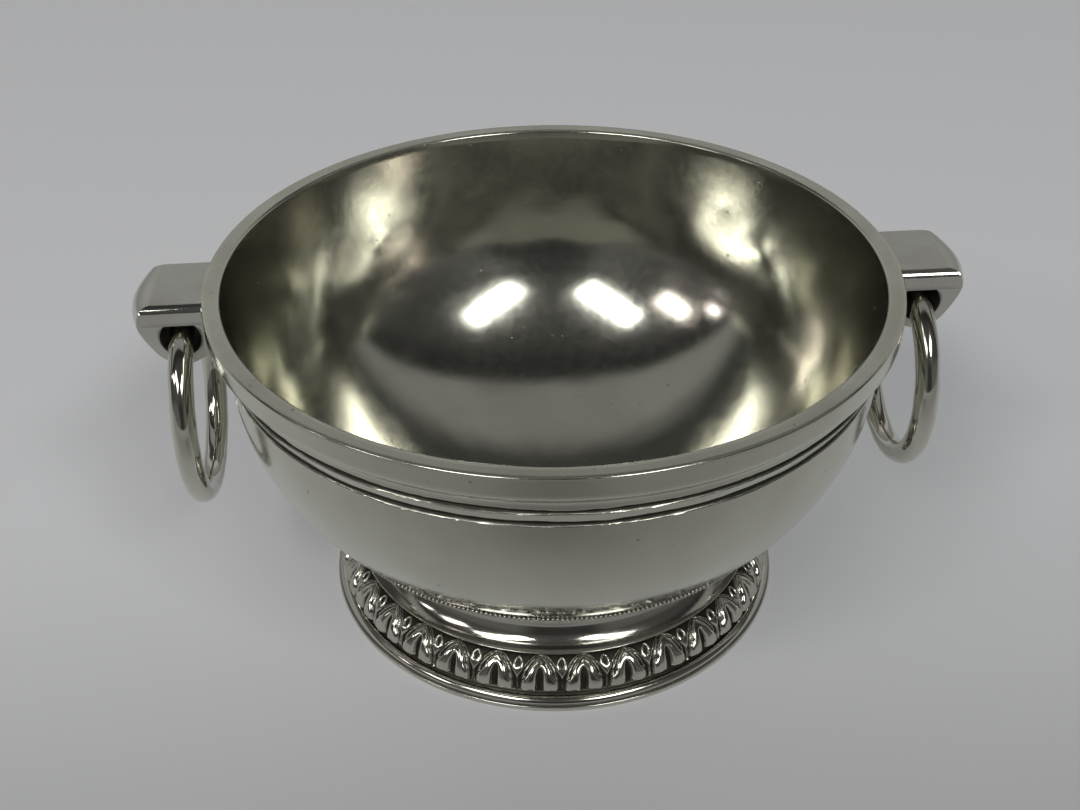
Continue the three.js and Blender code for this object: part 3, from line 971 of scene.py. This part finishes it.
def leaf_relief():
    """The height of leaf and bud over the ground, by the way round and the share of the height."""
    draw = np.random.default_rng(12)
    slip = draw.normal(0, leaf_slip, leaf_count)
    lean = draw.normal(0, leaf_lean, leaf_count)
    grow = draw.normal(0, leaf_growth, leaf_count)
    number = np.mod(leaf_number, leaf_count).astype(int)
    from_middle = (around - leaf_number) * pitch
    across = np.abs(from_middle - slip[number] - lean[number] * border_shares)
    share = border_shares - grow[number] * border_shares
    from_bud = pitch / 2 - np.abs(from_middle)

    narrowing = np.clip(1 - np.clip(share / leaf_tip, 0, None) ** leaf_taper, 0, 1)
    leaf = leaf_half_width * narrowing**leaf_fullness
    rising = soft_step(share, arch_start, arch_end)
    arches = half_round((leaf - across) / arch_width) * rising * arch_share
    outer_rising = soft_step(share, outer_start, outer_end)
    outer_arches = half_round((across - leaf - arch_groove) / outer_width) * outer_rising * outer_share

    slot = slot_half_width * np.sqrt(np.clip((slot_top - share) / slot_rounding, 0, 1))
    slot = slot - slot_half_width * slot_overlap * soft_step(share, slot_top, slot_top + slot_closing)
    inner = leaf - (arch_width + arch_groove) * rising
    ripples = hand_waves(leaf_turn * foot_ripples, one_height, length=1, seed=51)
    ragged_foot = lobe_foot + foot_raggedness * ripples
    in_lobe = np.minimum(inner - across, across - slot)
    in_lobe = np.minimum(in_lobe, (share - ragged_foot) * border_length)
    lobe_half = np.clip((inner - slot) / 2, least_lobe, None)
    side = np.clip(np.abs(across - (inner + slot) / 2) / lobe_half, 0, 1)
    lobes = pad(in_lobe, edge_softness) * (ornament_relief + lobe_dome * (1 - side**3))

    stem = bud_stem + (bud_half_width - bud_stem) * soft_step(share, stem_end, bud_waist)
    crown = np.sqrt(np.clip(1 - ((share - bud_waist) / (bud_tip - bud_waist)) ** 2, 0, 1))
    bud = np.where(share < bud_waist, stem, bud_half_width * crown)
    eye = eye_half_width * np.clip(1 - ((share - eye_middle) / eye_half_height) ** 2, 0, 1)
    in_bud = np.minimum(bud - from_bud, np.where(eye > 0, from_bud - eye, bud_half_width))
    buds = pad(in_bud, edge_softness) * ornament_relief

    falling = 1 - fall_share * soft_step(border_shares, fall_start, fall_end)
    ridges = np.maximum(arches, outer_arches) * ornament_relief
    return np.maximum.reduce([lobes, ridges, buds]) * falling


relief = leaf_relief()
fade = np.sqrt(np.clip((1 - border_shares) / tip_fade, 0, 1))
wobble = hand_waves(leaf_turn * wobble_ripples, border_shares, wobble_height, seed=77)
lifted = (relief + wobble * ground_wobble) * fade
slope = np.stack([np.cos(swell_turn) * swell_rise, np.sin(swell_turn) * border_swell])
slope = slope / np.linalg.norm(slope, axis=0)
front_radius = swell_radius + lifted * slope[0]
front_height = swell_height + lifted * slope[1]
back_foot = border_foot_radius - border_back
back_radius = np.array([[back_foot - border_seat], [back_foot]])
back_radius = np.broadcast_to(back_radius, (2, border_columns))
back_height = np.broadcast_to(np.array([[border_top], [border_foot]]), (2, border_columns))
border_points = turned(
    np.concatenate([front_radius, back_radius]),
    np.concatenate([front_height, back_height]),
    leaf_turn + leaf_phase,
)
hollows = 1 - soft_step(relief, hollow_relief, clear_relief)
border_marks = {"tarnish_and_shade": np.concatenate([hollows, np.zeros((2, border_columns))])}

border_pewter = pewter(
    "border_pewter",
    metal=(0.56, 0.55, 0.49),
    gloss=0.13,
    tarnish_and_shade=(0.045, 0.042, 0.034),
    wear_height=0.003 * MM,
)
leaf_border = skin(
    "leaf_border_band", border_points, border_pewter, border_marks, closed_along=True, sharp_angle=75
)
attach(leaf_border, "bowl_body")
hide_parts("leaf_border")


# The base rim is turned pewter under the border: a bright fillet, a small cove darkened by painted shade, and
# the plinth that the bowl stands on.
base_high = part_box("base_rim")[1]
base_top = base_high.z
base_bore = 38.4 * MM
plinth_spread = 0.7 * MM
plinth_radius = base_high.y + plinth_spread
plinth_height = 1 * MM
plinth_edge = 0.2 * MM
base_cove_radius = 44.1 * MM
torus_centre = 43 * MM
torus_size = 1.4 * MM
torus_start = 15
torus_gap_radius = 42.45 * MM
cove_foot_blend = (0.98, 1.04)
cove_top_blend = (0.95, 1.05)
cove_darkness = 0.7
gap_darkness = 0.8
base_satin = 0.02

torus = bend((torus_centre, plinth_height), torus_size, torus_start, 90, count=20)
plinth_lip = plinth_radius - plinth_edge
base_profile = joined(
    straight((base_bore, 0), (plinth_lip, 0), count=3),
    bend((plinth_lip, plinth_edge), plinth_edge, -90, 0, count=5),
    straight((plinth_radius, plinth_edge), (plinth_radius, plinth_height - plinth_edge), count=3),
    bend((plinth_lip, plinth_height - plinth_edge), plinth_edge, 0, 90, count=5),
    sweep(
        (plinth_lip, plinth_height),
        (base_cove_radius, plinth_height),
        (base_cove_radius, (plinth_height + torus[0, 1]) / 2),
        torus[0],
        count=10,
    ),
    torus,
    straight(torus[-1], (torus_gap_radius, torus[-1, 1]), count=3),
    straight((torus_gap_radius, torus[-1, 1]), (torus_gap_radius, base_top), count=3),
    straight((torus_gap_radius, base_top), (base_bore, base_top), count=3),
    straight((base_bore, base_top), (base_bore, 0), count=3),
)[:-1]
base_height = base_profile[:, 1:]
# Painted shade darkens the small cove above the plinth and the gap under the leaf border.
in_base_cove = soft_step(base_height / plinth_height, *cove_foot_blend)
in_base_cove = in_base_cove * (1 - soft_step(base_height / torus[0, 1], *cove_top_blend))
in_gap = soft_step(-base_profile[:, :1], -torus_centre, -torus_gap_radius)
base_shade = np.maximum(in_base_cove * cove_darkness, in_gap * gap_darkness)
base_rim = skin(
    "base_moulding",
    turned(base_profile[:, :1], base_height, foot_turn),
    foot_pewter,
    {"tarnish_and_shade": base_shade, "satin": base_satin},
    closed_along=True,
)
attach(base_rim, "bowl_body")
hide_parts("base_rim")


# The floor is a wide sheet of pale paper, painted darker towards the camera as shade, with a painted shadow
# of the camera in front of the bowl. Two long ceiling lamps behind the camera and two small ones on its left
# light the bowl, in a dim room with a pale ceiling.
floor_size = 6.0
floor_front = -0.15
floor_back = 0.03
shaded_near_paper = (0.42, 0.423, 0.43, 1)
far_paper = (0.765, 0.775, 0.8, 1)
painted_shadow_paper = (0.28, 0.28, 0.28, 1)
paper_roughness = 0.8
paper_shine = 0.1
shade_stretch = (1.6, 1, 1)
shade_middle = (-0.016, -0.16, 0)
shade_reach = 0.11
floor_glow = 0.1

paper = bpy.data.materials.new("pale_paper")
paper.use_nodes = True
paper_tree = paper.node_tree
paper_place = add_node(paper_tree, "TexCoord").outputs["Object"]
paper_parts = add_node(paper_tree, "SeparateXYZ", {"Vector": paper_place}).outputs
# Painted shade: the paper darkens towards the camera, and a painted shadow of the camera lies in a soft patch
# in front of the bowl.
farness = ranged(paper_tree, paper_parts["Y"], floor_front, floor_back, 0, 1)
shade_graded = blended(paper_tree, farness, shaded_near_paper, far_paper)
stretched = add_node(paper_tree, "VectorMath", {0: paper_place, 1: shade_stretch}, operation="MULTIPLY")
shade_way = {0: stretched.outputs["Vector"], 1: shade_middle}
from_shade = add_node(paper_tree, "VectorMath", shade_way, operation="DISTANCE").outputs["Value"]
unshaded = ranged(paper_tree, from_shade, 0, shade_reach, 0, 1)
paper_colour = blended(paper_tree, unshaded, painted_shadow_paper, shade_graded)
# Seen by the camera or in a mirror the paper glows faintly, which lights nothing else.
ray_kind = add_node(paper_tree, "LightPath").outputs
seen = maths(paper_tree, "ADD", ray_kind["Is Camera Ray"], ray_kind["Is Glossy Ray"])
paper_inputs = {
    "Base Color": paper_colour,
    "Roughness": paper_roughness,
    "Specular IOR Level": paper_shine,
    "Emission Color": paper_colour,
    "Emission Strength": maths(paper_tree, "MULTIPLY", seen, floor_glow),
}
feed(paper_tree, paper_tree.nodes["Principled BSDF"], paper_inputs)
sheet = bpy.data.meshes.new("floor")
floor_corners = np.array([(-1, -1, 0), (1, -1, 0), (1, 1, 0), (-1, 1, 0)]) * floor_size / 2
sheet.from_pydata(floor_corners, [], [(0, 1, 2, 3)])
sheet.materials.append(paper)
floor = placed("floor", sheet)

lamp_distance = 2.5
room_blue = 0.98
ahead_tones = (
    (0, 0.22), (20, 0.31), (26, 0.47), (32, 0.5), (37.5, 0.38),
    (43.5, 0.06), (58, 0.05), (67, 0.3), (90, 0.3),
)
height_share = 0.3
over_tones = (
    (88, 0.3), (91, 0.28), (94.5, 0.025), (104, 0.03),
    (115, 0.065), (146, 0.07), (158, 0.13), (180, 0.14),
)
turn_back = np.radians((84, 90))
patch_start = np.radians((144, 156))
patch_sides = (0.22, 0.45)
patch_tone = (0.04, 0.04, 0.04, 1)
backdrop = (0.36, 0.362, 0.37, 1)

room = bpy.data.worlds.new("dim_room")
bpy.context.scene.world = room
room.use_nodes = True
room_tree = room.node_tree
room_way = add_node(room_tree, "TexCoord").outputs["Generated"]
side_part, ahead_part, up_part = add_node(room_tree, "SeparateXYZ", {"Vector": room_way}).outputs
height_angle = maths(room_tree, "ARCSINE", up_part)
over = maths(room_tree, "ARCTAN2", up_part, ahead_part)


def room_shades(angle, tones):
    """A grey ramp over an angle from 0 to a half turn, given as degrees and brightness."""
    share = ranged(room_tree, angle, 0, np.pi, 0, 1, way="LINEAR")
    shades = add_node(room_tree, "ValToRGB", {"Fac": share})
    ramp = shades.color_ramp.elements
    ramp[0].position, ramp[1].position = tones[0][0] / 180, tones[-1][0] / 180
    for degrees, _ in tones[1:-1]:
        ramp.new(degrees / 180)
    for stop, (_, tone) in zip(ramp, tones):
        stop.color = (tone, tone, tone * room_blue, 1)
    return shades.outputs["Color"]


# The ceiling's edge ahead lies between a straight line across and a circle of equal height.
height_part = maths(room_tree, "MULTIPLY", height_angle, height_share)
over_part = maths(room_tree, "MULTIPLY", over, 1 - height_share)
in_front = room_shades(maths(room_tree, "ADD", height_part, over_part), ahead_tones)
# Behind the camera a dark patch stands low down.
off_side = maths(room_tree, "ABSOLUTE", side_part)
between_sides = ranged(room_tree, off_side, *patch_sides, 1, 0)
low_behind = ranged(room_tree, over, *patch_start, 0, 1)
in_patch = maths(room_tree, "MULTIPLY", between_sides, low_behind)
behind = blended(room_tree, in_patch, room_shades(over, over_tones), patch_tone)
facing_back = ranged(room_tree, over, *turn_back, 0, 1)
mirrored = blended(room_tree, facing_back, in_front, behind)
# The camera itself sees a plain pale backdrop in place of the room.
room_ray = add_node(room_tree, "LightPath").outputs["Is Camera Ray"]
room_colour = blended(room_tree, room_ray, mirrored, backdrop)
feed(room_tree, room_tree.nodes["Background"], {"Color": room_colour, "Strength": 1})


def aim(thing, place, back, lean):
    """Puts a lamp or camera at a place, its back to a direction, leaning sideways by an angle."""
    level_right = np.cross((0, 0, 1), back)
    level_right = level_right / np.linalg.norm(level_right)
    right = np.cos(lean) * level_right + np.sin(lean) * np.cross(back, level_right)
    grid = np.eye(4)
    grid[:3] = np.stack([right, np.cross(back, right), back, place], 1)
    thing.matrix_world = Matrix(grid)


def direction(azimuth, elevation):
    """The unit vector towards an azimuth from +Y and an elevation, both in radians."""
    level = np.cos(elevation)
    return np.array([np.sin(azimuth) * level, np.cos(azimuth) * level, np.sin(elevation)])


def ceiling_lamp(name, azimuth, elevation, size, lean, watts, colour):
    """A light panel that faces the bowl. Its angles are in degrees."""
    lamp = bpy.data.lights.new(name, "AREA")
    lamp.shape = "RECTANGLE"
    lamp.size, lamp.size_y = size
    lamp.energy = watts
    lamp.color = colour
    back = direction(np.radians(azimuth), np.radians(elevation))
    place = back * lamp_distance + (0, 0, rim_top / 2)
    aim(placed(name, lamp), place, back, np.radians(lean))


white = (1, 1, 0.98)
pink = (1, 0.9, 0.9)
pale_pink = (1, 0.92, 0.9)
ceiling_lamp("right_lamp", azimuth=153, elevation=43, size=(1.04, 0.4), lean=28, watts=13.5, colour=white)
ceiling_lamp("left_lamp", azimuth=-144.5, elevation=44, size=(1.12, 0.44), lean=-24, watts=14.5, colour=white)
ceiling_lamp("side_lamp", azimuth=-116, elevation=33, size=(0.5, 0.32), lean=-8, watts=3.4, colour=pale_pink)
ceiling_lamp("far_lamp", azimuth=-100, elevation=23.5, size=(0.2, 0.16), lean=0, watts=0.9, colour=pink)

# The camera stands where the photograph was taken from. Its angles are in radians.
camera_place = np.array([-19.0, -221.7, 193.0]) * MM
camera_heading = 0.0738
camera_pitch = 0.61
camera_roll = -0.01
focal_pixels = 1394
photo_width = 1080
sensor_width = 36
nearest_seen = 10 * MM
camera = placed("camera", bpy.data.cameras.new("camera"))
bpy.context.scene.camera = camera
camera.data.sensor_width = sensor_width
camera.data.lens = focal_pixels / photo_width * sensor_width
camera.data.clip_start = nearest_seen
aim(camera, camera_place, direction(camera_heading + np.pi, camera_pitch), camera_roll)

bpy.context.scene.view_settings.view_transform = "Standard"
